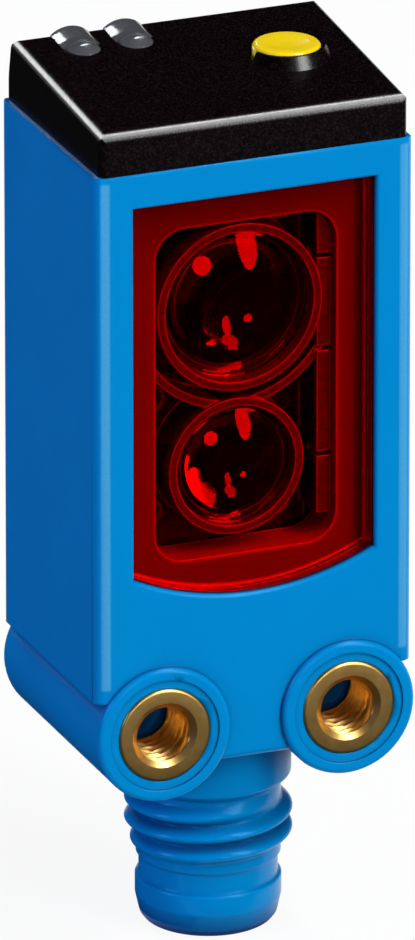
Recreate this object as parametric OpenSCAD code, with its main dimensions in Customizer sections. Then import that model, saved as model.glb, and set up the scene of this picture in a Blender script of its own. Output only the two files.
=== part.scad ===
/* [Housing] */
// width across the sides
body_w = 16; // [14.5:0.1:20]
// depth from front face to rear face
body_d = 12.1; // [11.4:0.1:15]
// height from the underside to the rim
body_h = 29.95; // [28.5:0.05:36]
// side and rear wall
wall = 1.2; // [0.9:0.05:1.6]
// radius of the upright edges
edge_r = 0.6; // [0.3:0.05:1.0]
// rounding along the rim
rim_r = 0.2; // [0.1:0.05:0.45]

/* [Mounting lugs] */
// lug diameter
lug_d = 6.7; // [6.2:0.1:7.2]
// how far the lugs stand out of the front face
lug_proud = 0.3; // [0.2:0.05:0.8]
// lug axis above the underside
lug_rise = 1.9; // [1.2:0.05:2.2]
// lower edge of the side walls above the lug axis
skirt_rise = 1.85; // [1.2:0.05:2.4]
// rounding of the lug ends
lug_r = 0.25; // [0.1:0.05:0.4]
// outer diameter of the brass inserts
insert_d = 4.6; // [4.2:0.05:5.0]
// length of the brass inserts
insert_l = 3.4; // [3:0.1:3.6]
// core diameter of the tapped hole
tap_d = 2.5; // [2.4:0.05:2.7]
// width of the shallow ring round an insert
ring_w = 0.45; // [0.2:0.05:0.6]
// depth of that ring
ring_deep = 0.08; // [0.04:0.02:0.2]
// depth of the drilled point behind an insert
drill_point = 1.2; // [0.8:0.05:1.6]
// diameter of the hole mouth
mouth_d = 3.3; // [3.1:0.05:3.6]

/* [Window] */
// window width
window_w = 12.1; // [11.2:0.1:13]
// window height at its sides
window_h = 18.45; // [17.6:0.05:19.5]
// how far the lower edge bows down
window_sag = 1.4; // [0.6:0.05:1.8]
// rim down to the window's upper edge
window_drop = 1.75; // [1.6:0.05:3]
// window thickness
window_t = 1.1; // [0.8:0.05:1.4]
// set back behind the front face
window_recess = 0.2; // [0.1:0.05:0.4]
// seal thickness
seal_t = 0.15; // [0.1:0.05:0.3]
// wall of the sleeve that lines the opening
sleeve_t = 0.3; // [0.2:0.05:0.35]
// depth of that sleeve behind the window
sleeve_l = 2.3; // [1.4:0.05:2.6]
// ledge behind the seal
ledge_t = 0.5; // [0.4:0.05:0.8]
// ledge width at the sides
ledge_side = 1.2; // [0.9:0.05:1.6]
// ledge width along the upper edge
ledge_top = 1.4; // [1.1:0.05:1.8]
// corner radius of the opening
opening_r = 1.5; // [0.8:0.05:2]

/* [Optics] */
// receiver lens diameter
rx_d = 7.4; // [6.6:0.1:7.6]
// sender lens diameter
tx_d = 5.9; // [5.2:0.1:6.2]
// distance between the lens axes
lens_pitch = 8.05; // [7.9:0.05:8.4]
// upper edge of the opening down to the receiver axis
rx_drop = 4.6; // [4.45:0.05:4.9]
// lens axes off the middle of the housing
lens_x = -0.3; // [-0.6:0.05:0]
// height of the receiver dome
rx_sag = 0.7; // [0.5:0.05:0.72]
// height of the sender dome
tx_sag = 0.6; // [0.4:0.05:0.7]
// lens rim thickness
lens_rim = 0.6; // [0.4:0.05:0.9]
// lens rim behind the carrier face
lens_set = 0.15; // [0.13:0.01:0.3]
// length of the light tubes
tube_l = 4.8; // [4:0.1:5.2]
// wall of the tubes round the lenses
ring_t = 0.4; // [0.3:0.05:0.42]
// gap between the sleeve and the carrier plate
plate_gap = 0.3; // [0.2:0.05:0.6]
// radius of the outer rib under the receiver
rib_r = 5.2; // [4.8:0.05:5.4]
// width of the rail beside the lenses
rail_w = 0.7; // [0.5:0.05:0.9]
// height of the breaks in the rail
rail_gap = 0.25; // [0.15:0.05:0.4]

/* [Top cover] */
// cover inset from the housing sides
cover_inset = 0.3; // [0.2:0.05:0.5]
// cover set back from the front and rear faces
cover_set = 0.1; // [0.05:0.05:0.3]
// cover height above the rim at the front
cover_front = 2.15; // [1.9:0.05:2.6]
// further rise of the cover towards the rear
cover_rise = 1.05; // [0.4:0.05:1.3]
// how far the cover's rear face leans in
cover_lean = 0.55; // [0.2:0.05:0.7]
// rounding along the cover's upper edges
cover_r = 0.5; // [0.3:0.05:0.6]
// radius of the cover's upright edges
cover_edge_r = 0.3; // [0.15:0.05:0.6]
// depth of the spigot in the housing
spigot_h = 1; // [0.7:0.05:1.3]
// spigot wall
spigot_t = 0.9; // [0.7:0.05:1.1]
// roof thickness at the front
roof_t = 1; // [0.8:0.05:1.2]

/* [Teach button] */
// button diameter
button_d = 3.24; // [2.8:0.02:3.8]
// button axis in from the right side
button_in = 4; // [3.9:0.05:4.6]
// button top above the cover
button_up = 0.5; // [0.4:0.02:0.8]
// button travel
button_travel = 0.3; // [0.15:0.05:0.4]
// running clearance of the button
button_gap = 0.06; // [0.03:0.01:0.1]
// collar height
collar_h = 0.4; // [0.3:0.02:0.6]
// collar wall at its top
collar_top = 0.16; // [0.12:0.02:0.3]
// collar wall at its foot
collar_foot = 0.5; // [0.35:0.05:0.7]
// angle that the collar goes round
collar_arc = 145; // [120:5:180]

/* [Light pipes] */
// distance between the two light pipes
pipe_pitch = 2.65; // [2.3:0.05:3]
// first light pipe in from the left side
pipe_in = 3.1; // [3:0.05:3.8]
// width of the vault
pipe_w = 1.86; // [1.6:0.02:2.1]
// height of the vault above the cover
pipe_h = 0.36; // [0.3:0.02:0.6]
// length of the vault
pipe_l = 1.6; // [1:0.05:1.9]
// radius of the rounded nose
pipe_nose = 0.8; // [0.6:0.05:0.85]
// nose middle in front of the vault
pipe_reach = 0.25; // [0.1:0.05:0.35]

/* [Plug] */
// tip of the plug to the underside of the housing
plug_h = 10.15; // [9.6:0.05:12]
// thread outside diameter
thread_d = 8; // [7.8:0.05:8.2]
// thread pitch
thread_p = 1; // [0.75:0.05:1.1]
// thread core diameter
core_d = 6.9; // [6.8:0.05:7.1]
// turns of thread
thread_n = 2.9; // [1.5:0.1:3]
// turns over which the thread grows from its lower end
thread_lead = 0.9; // [0.3:0.1:1]
// neck diameter above the thread
neck_d = 7.88; // [7.4:0.02:8]
// collar diameter
nose_d = 6.96; // [6.8:0.02:7.2]
// groove diameter
groove_d = 6.62; // [6.5:0.02:6.7]
// inside diameter of the plug
socket_d = 5.5; // [5.3:0.05:5.6]
// depth of the plug's hollow
socket_h = 7; // [6.4:0.1:7.4]
// pin diameter
pin_d = 1; // [0.76:0.02:1.1]
// radius of the pin circle
pin_circle = 1.45; // [1.3:0.05:1.6]
// height of the block that holds the pins
pin_block_h = 2.6; // [2:0.1:2.8]
// length of the plug held in the housing
plug_hold = 3; // [2.4:0.1:3.2]

/* [Circuit boards] */
// board thickness
pcb_t = 0.8; // [0.6:0.05:1]
// room for parts beside the main board
part_room = 1.9; // [1.7:0.05:2.1]
// height of the parts on the main board
part_h = 0.9; // [0.6:0.05:1.2]

/* [Inner parts] */
// photo receiver width
photo_w = 3; // [2.4:0.1:3.4]
// photo receiver thickness
photo_t = 0.8; // [0.6:0.05:1]
// depth of the dish in the photo receiver
photo_dish = 0.15; // [0.1:0.01:0.25]
// sender chip thickness
sender_t = 0.5; // [0.4:0.05:0.7]
// sender chip width
sender_w = 2; // [1.6:0.1:2.4]
// signal chip width
chip_w = 4; // [3:0.1:5]
// output driver width
driver_w = 3; // [2:0.1:4]
// chip capacitor width
cap_w = 1.2; // [0.8:0.1:1.4]
// chip capacitor length
cap_l = 1.8; // [1.2:0.1:2.2]
// board link thickness
link_t = 0.4; // [0.3:0.05:0.5]
// board link spacing
link_pitch = 1.4; // [1:0.1:1.6]
// board link length
link_l = 1.2; // [0.8:0.1:1.6]
// indicator light length
led_l = 1.6; // [1.2:0.1:1.8]
// indicator light width
led_w = 0.8; // [0.6:0.05:0.9]
// indicator light height
led_h = 0.6; // [0.4:0.05:0.8]
// switch width
switch_w = 3.4; // [3:0.1:3.6]
// switch plunger diameter
plunger_d = 1.3; // [1:0.05:1.5]
// overhang of the plunger's foot
plunger_over = 0.4; // [0.3:0.05:0.45]
// room between the switch and the pressed button
switch_room = 0.45; // [0.3:0.05:0.5]
// thickness of the switch lid
switch_lid = 0.35; // [0.25:0.05:0.4]
// button flange thickness
flange_t = 0.5; // [0.3:0.05:0.6]
// button flange overhang
flange_over = 0.35; // [0.25:0.05:0.4]
// room round moving pieces
free_gap = 0.3; // [0.2:0.05:0.4]
// cover seal thickness
gasket_t = 0.3; // [0.2:0.05:0.4]
// radius of the moulding marks
mark_r = 0.6; // [0.4:0.05:0.8]

/* [Hidden] */
$fn = 96;
clr = 0.03;
seam = 0.02;
eps = 0.2;
blue = [0.0, 0.36, 0.66];
black = [0.05, 0.05, 0.055];
brass = [0.78, 0.6, 0.3];
green = [0.05, 0.3, 0.14];

y_rear = (body_d + lug_proud) / 2;
y_face = y_rear - body_d;
y_lug = y_face - lug_proud;
y_mid = (y_face + y_rear) / 2;
z_rim = plug_h + body_h;
z_lug = plug_h + lug_rise;
z_skirt = z_lug + skirt_rise;
lug_x = (body_w - lug_d) / 2;
z_floor = z_lug + lug_d / 2 + 0.3;

// window and opening levels
z_win_top = z_rim - window_drop;
z_win_low = z_win_top - window_h;
window_r = (window_w * window_w / 4 + window_sag * window_sag) / (2 * window_sag);
y_win = y_face + window_recess;
y_win_back = y_win + window_t;
y_seat = y_win_back + seal_t;
y_in = y_seat + ledge_t;
y_back = y_rear - wall;
x_in = body_w / 2 - wall;
open_w = window_w - 2 * ledge_side;
z_open_top = z_win_top - ledge_top;
z_open_low = z_win_low - 0.1;

// optics levels
z_rx = z_open_top - rx_drop;
z_tx = z_rx - lens_pitch;
y_lens = y_in + lens_set;
y_tube = y_lens + lens_rim;
y_opt = y_tube + tube_l;
z_carrier_low = z_open_low - 1.5;
z_carrier_top = z_open_top + 0.5;
x_board = x_in - part_room - pcb_t;
y_sleeve = y_win_back + sleeve_l;
y_plate = y_sleeve + plate_gap;
free_c = sleeve_t + 0.1;
x_rail = open_w / 2 - free_c;
y_board = y_plate + ring_t + seam;
board_y = (y_board + y_back - 0.4) / 2;

// cover levels
x_cover = body_w / 2 - cover_inset;
y_cover_f = y_face + cover_set;
y_cover_r = y_rear - cover_set;
cover_a = atan(cover_rise / (y_cover_r - y_cover_f));
z_cover = z_rim + cover_front;
z_roof = z_cover - roof_t;
button_r = button_d / 2;
hole_r = button_r + button_gap;
button_x = body_w / 2 - button_in;
z_button = z_cover + (y_mid - y_cover_f) * tan(cover_a);
flange_r = hole_r + flange_over;
z_flange = z_roof - seam - flange_t;
switch_top = z_flange - seam - button_travel - switch_room;
plunger_foot = plunger_d / 2 + plunger_over;
z_ind = z_carrier_top + seam;
z_ind_top = z_ind + pcb_t;

// light pipe levels
pipe_x = pipe_in - body_w / 2;
pipe_rear = y_cover_r - cover_lean - 0.25;
pipe_front = pipe_rear - pipe_l;
pipe_vault = (pipe_w * pipe_w / 4 + pipe_h * pipe_h) / (2 * pipe_h);
pipe_deep = 0.7;
nose_h = pipe_h * 0.84;
nose_ball = (pipe_nose * pipe_nose + nose_h * nose_h) / (2 * nose_h);
led_y = y_back - 0.5;
stem_d = led_w - 0.1;
z_pipe = z_cover + (led_y - y_cover_f) * tan(cover_a) - pipe_deep + 0.3;

// plug levels
z_groove_low = 2.15;
z_groove_top = 3.2;
z_thread = 3.6;
z_neck = z_thread + (thread_n + 0.9) * thread_p;
z_stop = socket_h + pin_block_h;
spigot_r = socket_d / 2 + 0.15;
z_spigot = plug_h + plug_hold;
resin_r = socket_d / 2 - 0.55;
z_plug_pcb = z_floor + seam;
z_pin_top = z_plug_pcb + pcb_t + pin_d / 2;

// rounded rectangle about the middle
module round_rect(w, h, r) {
  square([w - 2 * r, h], center = true);
  square([w, h - 2 * r], center = true);
  for (i = [-1, 1], j = [-1, 1])
    translate([i * (w / 2 - r), j * (h / 2 - r)])
      circle(r);
}

// upright outline between two levels with its upper corners rounded
module round_top(a, b, z0, z1, r) {
  translate([a, z0])
    square([b - a, z1 - z0 - r]);
  translate([a + r, z0])
    square([b - a - 2 * r, z1 - z0]);
  for (u = [a + r, b - r])
    translate([u, z1 - r])
      circle(r);
}

// outline in width and height, drawn out along the depth
module along_y(y0, y1) {
  translate([0, y1, 0])
    rotate([90, 0, 0])
      linear_extrude(y1 - y0)
        children();
}

// outline in depth and height, drawn out along the width
module along_x(x0, x1) {
  translate([x0, 0, 0])
    rotate([90, 0, 90])
      linear_extrude(x1 - x0)
        children();
}

// round bar along the depth
module rod_y(x, z, r, y0, y1) {
  translate([x, y1, z])
    rotate([90, 0, 0])
      cylinder(r = r, h = y1 - y0);
}

// box by its limits
module box(x0, x1, y0, y1, z0, z1) {
  translate([x0, y0, z0])
    cube([x1 - x0, y1 - y0, z1 - z0]);
}

// window outline, drawn in by c
module window_shape(c) {
  intersection() {
    translate([-window_w / 2 + c, z_win_low - window_sag - 1])
      square([window_w - 2 * c, window_h + window_sag + 1 - c]);
    translate([0, z_win_low - window_sag + window_r])
      circle(window_r - c);
  }
}

// opening through the ledge
module opening_shape(c) {
  translate([0, (z_open_top + z_open_low) / 2])
    round_rect(open_w - 2 * c, z_open_top - z_open_low - 2 * c, opening_r);
}

// frame of the cover's sloping upper face, its front edge at zero
module on_cover() {
  translate([0, y_cover_f, z_cover])
    rotate([cover_a, 0, 0])
      children();
}

// lug along the depth with rounded ends
module lug(x) {
  lug_l = y_rear - y_lug;
  translate([x, y_rear, z_lug])
    rotate([90, 0, 0])
      rotate_extrude() {
        square([lug_d / 2 - lug_r, lug_l]);
        translate([0, lug_r])
          square([lug_d / 2, lug_l - 2 * lug_r]);
        for (v = [lug_r, lug_l - lug_r])
          translate([lug_d / 2 - lug_r, v])
            circle(lug_r);
      }
}

// pocket for an insert, with the drilled point behind it; depth counted along +z
module insert_pocket() {
  translate([0, 0, -eps])
    cylinder(d = insert_d + 2 * seam, h = insert_l + eps);
  translate([0, 0, -eps])
    cylinder(d = insert_d + 2 * ring_w, h = ring_deep + eps);
  translate([0, 0, insert_l - seam])
    cylinder(d1 = tap_d - 0.1, d2 = 0, h = drill_point);
}

module housing() {
  color(blue)
  difference() {
    union() {
      intersection() {
        translate([0, y_mid, z_skirt])
          linear_extrude(z_rim - z_skirt)
            round_rect(body_w, body_d, edge_r);
        along_y(y_face - 1, y_rear + 1)
          round_top(-body_w / 2, body_w / 2, plug_h, z_rim, rim_r);
        along_x(-body_w, body_w)
          round_top(y_face, y_rear, plug_h, z_rim, rim_r);
      }
      // saddle between the lugs, rounded along its lower edges
      intersection() {
        box(-lug_x, lug_x, y_face, y_rear, plug_h, z_skirt + eps);
        along_x(-body_w, body_w)
          mirror([0, 1])
            round_top(y_face, y_rear, -z_skirt - 1, -plug_h, 0.4);
      }
      lug(-lug_x);
      lug(lug_x);
    }
    // hollow for boards and optics
    box(-x_in, x_in, y_in, y_back, z_floor, z_rim + 1);
    along_y(y_face - 1, y_seat)
      window_shape(0);
    along_y(y_seat - eps, y_in + eps)
      opening_shape(0);
    for (x = [-lug_x, lug_x]) {
      translate([x, y_lug, z_lug])
        rotate([-90, 0, 0])
          insert_pocket();
      translate([x, y_rear, z_lug])
        rotate([90, 0, 0])
          insert_pocket();
    }
    // the lugs give way to the neck of the plug
    translate([0, 0, plug_h - lug_d])
      cylinder(r = neck_d / 2 + seam, h = lug_d);
    // seat of the plug and way through for its pins
    translate([0, 0, plug_h - 1])
      cylinder(r = spigot_r + seam, h = z_spigot + seam - plug_h + 1);
    translate([0, 0, plug_h])
      cylinder(r = resin_r + seam, h = z_floor - plug_h + eps);
  }
}

module front_window() {
  color([0.75, 0.02, 0.02, 0.55])
  along_y(y_win, y_win_back)
    window_shape(clr);
}

// flat frame behind the window, with a sleeve that lines the opening
module window_seal() {
  color([0.6, 0.6, 0.6]) {
    along_y(y_win_back, y_seat)
      difference() {
        window_shape(clr);
        opening_shape(sleeve_t);
      }
    along_y(y_win_back, y_sleeve)
      difference() {
        opening_shape(clr);
        opening_shape(sleeve_t);
      }
  }
}

// closed cover block with sloping, rounded roof
module cover_block() {
  intersection() {
    translate([0, (y_cover_f + y_cover_r) / 2, z_rim])
      linear_extrude(cover_front + cover_rise + 2)
        round_rect(2 * x_cover, y_cover_r - y_cover_f, cover_edge_r);
    on_cover()
      along_y(-5, body_d + 5)
        round_top(-x_cover, x_cover, -cover_front - 3, 0, cover_r);
    along_x(-body_w, body_w)
      cover_side();
  }
}

// side outline of the cover
module cover_side() {
  nx = -sin(cover_a);
  ny = cos(cover_a);
  ya = y_cover_f + cover_r;
  yb = y_cover_r - cover_lean - cover_r;
  za = z_cover + cover_r * tan(cover_a) - cover_r / cos(cover_a);
  zb = z_cover + (yb - y_cover_f) * tan(cover_a) - cover_r / cos(cover_a);
  lean = atan(cover_lean / (zb - z_rim));
  polygon([[y_cover_f, z_rim], [y_cover_r, z_rim], [yb + cover_r * cos(lean), zb + cover_r * sin(lean)],
    [yb, zb], [yb + cover_r * nx, zb + cover_r * ny],
    [ya + cover_r * nx, za + cover_r * ny], [y_cover_f, za]]);
  translate([ya, za])
    circle(cover_r);
  translate([yb, zb])
    circle(cover_r);
}

// collar round the front of the button, sunk into the roof at its foot
module button_collar() {
  sink = 0.4;
  drop = (hole_r + collar_foot) * tan(cover_a);
  translate([button_x, y_mid, z_button - drop - sink])
    rotate([0, 0, 270 - collar_arc / 2])
      rotate_extrude(angle = collar_arc)
        polygon([[hole_r, 0], [hole_r + collar_foot, 0], [hole_r + collar_foot, sink],
          [hole_r + collar_top, sink + drop + collar_h], [hole_r, sink + drop + collar_h]]);
}

// light pipe body under the roof, drawn out by c
module pipe_block(x, c) {
  on_cover()
    translate([x, -y_cover_f, 0]) {
      box(-pipe_w / 2 - c, pipe_w / 2 + c, pipe_front - c, pipe_rear + c, -pipe_deep - c, c);
      translate([0, pipe_front - pipe_reach, -pipe_deep - c])
        cylinder(r = pipe_nose + c, h = pipe_deep + 2 * c);
    }
  box(x - 0.6 - c, x + 0.6 + c, led_y - stem_d / 2 - c, led_y + stem_d / 2 + c,
    z_ind_top + led_h + 0.25, z_pipe);
}

module top_cover() {
  color(black)
  difference() {
    union() {
      cover_block();
      button_collar();
      box(-x_in + clr, x_in - clr, y_in + clr, y_back - clr, z_rim - spigot_h, z_rim + eps);
    }
    // room for the switch and the indicator lights
    box(-x_in + spigot_t, x_in - spigot_t, y_in + spigot_t, y_back - spigot_t, z_rim - spigot_h - 1, z_roof);
    for (i = [0, 1])
      box(pipe_x + i * pipe_pitch - 0.8, pipe_x + i * pipe_pitch + 0.8,
        y_back - spigot_t - eps, y_back + eps, z_rim - spigot_h - 1, z_rim);
    translate([button_x, y_mid, z_roof - eps])
      cylinder(r = hole_r, h = z_button + 2 - z_roof);
    translate([button_x, y_mid, z_rim - spigot_h - 1])
      cylinder(r = flange_r + free_gap, h = z_roof - z_rim + spigot_h + 1);
    for (i = [0, 1])
      pipe_block(pipe_x + i * pipe_pitch, clr);
    translate([0, 0, z_rim - eps])
      linear_extrude(gasket_t + eps)
        seal_shape(seam);
  }
}

// ring of the cover seal seen from above
module seal_shape(c) {
  translate([0, (y_in + y_back) / 2])
    difference() {
      square([2 * x_in + 1.1 + 2 * c, y_back - y_in + 1.1 + 2 * c], center = true);
      square([2 * x_in + 0.5 - 2 * c, y_back - y_in + 0.5 - 2 * c], center = true);
    }
}

module cover_seal() {
  color([0.25, 0.25, 0.26])
  translate([0, 0, z_rim])
    linear_extrude(gasket_t - seam)
      seal_shape(0);
}

module teach_button() {
  top = z_button + button_up;
  r = 0.22;
  color([0.95, 0.8, 0.05])
  translate([button_x, y_mid, 0])
    difference() {
      rotate_extrude() {
        translate([0, z_flange])
          square([button_r, top - r - z_flange]);
        translate([0, z_flange])
          square([button_r - r, top - z_flange]);
        translate([button_r - r, top - r])
          circle(r);
        translate([0, z_flange])
          square([flange_r, flange_t]);
      }
      // shallow dish in the face
      translate([0, 0, top + 9.94])
        sphere(r = 10);
    }
}

// vault with a rounded nose, over a body that leads down to its light
module light_pipe(x) {
  on_cover()
    translate([x, -y_cover_f, 0]) {
      intersection() {
        rod_y(0, pipe_h - pipe_vault, pipe_vault, pipe_front, pipe_rear);
        box(-pipe_w / 2, pipe_w / 2, pipe_front, pipe_rear, -pipe_deep / 2, pipe_h + 1);
      }
      intersection() {
        translate([0, pipe_front - pipe_reach, nose_h - nose_ball])
          sphere(r = nose_ball);
        translate([0, pipe_front - pipe_reach, -pipe_deep / 2])
          cylinder(r = pipe_nose, h = pipe_deep / 2 + pipe_h);
      }
    }
  pipe_block(x, 0);
}

module power_light_pipe() {
  color([0.8, 0.83, 0.85, 0.7])
  light_pipe(pipe_x);
}

module signal_light_pipe() {
  color([0.8, 0.83, 0.85, 0.7])
  light_pipe(pipe_x + pipe_pitch);
}

// tapped brass insert, its face at zero, depth along +z
module insert() {
  lead = (mouth_d - tap_d) / 2;
  rotate_extrude()
    polygon([[mouth_d / 2, 0], [insert_d / 2 - 0.1, 0], [insert_d / 2, 0.1], [insert_d / 2, insert_l - seam],
      [tap_d / 2, insert_l - seam], [tap_d / 2, lead]]);
}

module front_inserts() {
  color(brass)
  for (x = [-lug_x, lug_x])
    translate([x, y_lug, z_lug])
      rotate([-90, 0, 0])
        insert();
}

module rear_inserts() {
  color(brass)
  for (x = [-lug_x, lug_x])
    translate([x, y_rear, z_lug])
      rotate([90, 0, 0])
        insert();
}

// seat and light tube for one lens
module lens_seat(z, d) {
  rod_y(lens_x, z, d / 2 + clr, y_in - 2, y_tube);
  rod_y(lens_x, z, d / 2 - 0.5, y_tube - eps, y_opt + 1);
}

// rings and rail that stand forward of the carrier plate, inside the sleeve
module carrier_front() {
  intersection() {
    along_y(y_win_back, y_plate + eps)
      opening_shape(free_c);
    union() {
      rod_y(lens_x, z_rx, rx_d / 2 + clr + ring_t, y_win_back + 0.05, y_plate + eps);
      rod_y(lens_x, z_tx, tx_d / 2 + clr + ring_t, y_in - eps, y_plate + eps);
      carrier_rib();
      carrier_rail();
    }
  }
}

// rib that runs round below the receiver
module carrier_rib() {
  difference() {
    rod_y(lens_x, z_rx, rib_r, y_in, y_plate + eps);
    rod_y(lens_x, z_rx, rib_r - ring_t, y_in - 1, y_plate + 1);
    box(-body_w, body_w, y_in - 2, y_plate + 2, z_rx - rx_d / 4, z_rim);
  }
}

// rail on the side of the main board, broken in three places
module carrier_rail() {
  difference() {
    box(x_rail - rail_w, x_rail, y_in - eps, y_plate + eps, z_tx - tx_d / 2, z_open_top - 0.6);
    for (z = [z_rx + rx_d / 4, z_rx - rx_d * 3 / 8, z_tx])
      box(x_rail - 2 * rail_w, x_rail + 1, y_in - 1, y_in + 1, z - rail_gap / 2, z + rail_gap / 2);
  }
}

module optics_carrier() {
  x_left = -x_in + 0.1;
  x_right = x_board - 0.1;
  color([0.07, 0.07, 0.075])
  difference() {
    union() {
      box(x_left, x_right, y_plate, y_opt, z_carrier_low, z_carrier_top);
      // shoulder that carries the rail past the edge of the block
      box(x_right - eps, x_rail, y_plate, y_plate + ring_t, z_tx - tx_d / 2, z_open_top - 0.6);
      carrier_front();
    }
    lens_seat(z_rx, rx_d);
    lens_seat(z_tx, tx_d);
    // round moulding marks on the plate
    for (p = [[lens_x - 3.4, z_tx + 3.1], [lens_x - 3.5, z_tx - 2.5], [lens_x + 2.9, z_tx - 2.9],
        [lens_x + 3.1, z_open_top - 0.8], [lens_x - 3.2, z_open_top - 0.9]])
      rod_y(p[0], p[1], mark_r, y_plate - 0.12, y_plate + 0.12);
  }
}

// lens with flat rim, front dome and back dome
module lens(z, d, sag) {
  rf = d / 2 - 0.2;
  rb = d / 2 - 0.7;
  back = sag * 0.7;
  ball_f = (rf * rf + sag * sag) / (2 * sag);
  ball_b = (rb * rb + back * back) / (2 * back);
  rim = lens_rim - seam;
  translate([lens_x, y_lens, z])
    rotate([-90, 0, 0])
      rotate_extrude() {
        square([d / 2, rim]);
        intersection() {
          translate([0, ball_f - sag])
            circle(ball_f, $fn = 720);
          translate([0, -sag - 1])
            square([d, sag + 1.05]);
        }
        intersection() {
          translate([0, rim + back - ball_b])
            circle(ball_b, $fn = 720);
          translate([0, rim - 0.05])
            square([d, back + 1]);
        }
      }
}

module receiver_lens() {
  color([0.85, 0.88, 0.9, 0.6])
  lens(z_rx, rx_d, rx_sag);
}

module sender_lens() {
  color([0.85, 0.88, 0.9, 0.6])
  lens(z_tx, tx_d, tx_sag);
}

module optics_board() {
  color(green)
  box(-x_in + 0.9, x_board - 0.1, y_opt + seam, y_opt + seam + pcb_t, z_tx - tx_d / 2 - 0.6, z_rx + rx_d / 2);
}

// square block on a lens axis
module optic_block(z, w, y0, y1) {
  box(lens_x - w / 2, lens_x + w / 2, y0, y1, z - w / 2, z + w / 2);
}

module photo_receiver() {
  color([0.12, 0.1, 0.1])
  difference() {
    optic_block(z_rx, photo_w, y_opt - photo_t, y_opt + seam);
    optic_block(z_rx, photo_w / 1.5, y_opt - photo_t - 1, y_opt - photo_t + photo_dish);
  }
}

module sender_led() {
  color([0.9, 0.55, 0.5])
  union() {
    optic_block(z_tx, sender_w, y_opt - sender_t, y_opt + seam);
    intersection() {
      translate([lens_x, y_opt - sender_t, z_tx])
        sphere(r = sender_w * 0.4);
      optic_block(z_tx, sender_w * 2, y_opt - sender_t - sender_w, y_opt - sender_t + 0.1);
    }
  }
}

module main_board() {
  color(green)
  box(x_board, x_board + pcb_t, y_board, y_back - 0.4, z_floor + seam, z_carrier_top);
}

// part on the outer face of the main board
module board_part(y, z, dy, dz, h) {
  box(x_board + pcb_t, x_board + pcb_t + h, y - dy / 2, y + dy / 2, z - dz / 2, z + dz / 2);
}

module signal_chip() {
  color([0.1, 0.1, 0.11])
  board_part(board_y, z_rx - chip_w / 2, chip_w, chip_w, part_h);
}

module output_driver() {
  color([0.1, 0.1, 0.11])
  board_part(board_y, z_tx, driver_w, driver_w, part_h);
}

module chip_capacitors() {
  color([0.62, 0.5, 0.36])
  for (i = [-1, 1], z = [z_rx + cap_l * 1.6, z_tx - driver_w / 2 - cap_l])
    board_part(board_y + i * cap_w * 1.25, z, cap_w, cap_l, part_h * 0.9);
}

// square pins that join the boards
module board_links() {
  color([0.8, 0.75, 0.55])
  for (k = [-1.5:1:1.5]) {
    y = board_y + k * link_pitch;
    box(x_board - link_l, x_board, y - link_t / 2, y + link_t / 2,
      z_plug_pcb + pcb_t, z_plug_pcb + pcb_t + link_t);
    box(x_board - link_l, x_board, y_opt + seam + pcb_t, y_opt + seam + pcb_t + link_t,
      z_rx + k * link_pitch - link_t / 2, z_rx + k * link_pitch + link_t / 2);
  }
}

module indicator_board() {
  color(green)
  box(-x_in + 0.2, x_in - 0.2, y_in + 0.2, y_back - 0.05, z_ind, z_ind_top);
}

// small light on the indicator board
module chip_led(x) {
  box(x - led_l / 2, x + led_l / 2, led_y - led_w / 2, led_y + led_w / 2,
    z_ind_top, z_ind_top + led_h);
}

module power_led() {
  color([0.3, 0.85, 0.35])
  chip_led(pipe_x);
}

module signal_led() {
  color([0.95, 0.75, 0.2])
  chip_led(pipe_x + pipe_pitch);
}

module tact_switch() {
  color([0.75, 0.75, 0.76])
  translate([button_x, y_mid, 0])
    difference() {
      box(-switch_w / 2, switch_w / 2, -switch_w / 2, switch_w / 2, z_ind_top, switch_top);
      translate([0, 0, z_ind_top + 0.25])
        cylinder(r = plunger_foot + free_gap, h = switch_top - z_ind_top - 0.25 - switch_lid);
      translate([0, 0, z_ind_top + 0.25])
        cylinder(r = plunger_d / 2 + button_gap, h = switch_top);
    }
}

module switch_plunger() {
  foot_t = 0.3;
  z_foot = switch_top - switch_lid - seam - foot_t;
  color([0.2, 0.2, 0.21])
  translate([button_x, y_mid, z_foot]) {
    cylinder(r = plunger_foot, h = foot_t);
    cylinder(d = plunger_d, h = z_flange - seam - z_foot);
  }
}

// rounded helical ridge, run in and out at its ends
module thread_ridge() {
  n = 36;
  steps = floor(thread_n * n);
  ri = core_d / 2 - 0.12;
  h = thread_p;
  pts = [for (i = [0:steps])
    let (a = i * 360 / n, k = min(1, i / n / thread_lead, 3 * (steps - i) / n),
      rc = ri + 0.02 + (thread_d / 2 - ri - 0.02) * k, z = z_thread + i * h / n)
    each [[ri - 0.1, a, z - 0.46 * h], [rc - 0.1, a, z - 0.2 * h], [rc, a, z - 0.09 * h],
      [rc, a, z + 0.09 * h], [rc - 0.1, a, z + 0.2 * h], [ri - 0.1, a, z + 0.46 * h]]];
  loop = [for (i = [0:steps - 1], j = [0:5])
    let (a = i * 6 + j, b = i * 6 + (j + 1) % 6)
    each [[a, b, b + 6], [a, b + 6, a + 6]]];
  last = steps * 6;
  ends = [for (j = [1:4])
    each [[0, j + 1, j], [last, last + j, last + j + 1]]];
  polyhedron([for (p = pts) [p[0] * cos(p[1]), p[0] * sin(p[1]), p[2]]], concat(loop, ends), convexity = 8);
}

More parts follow.
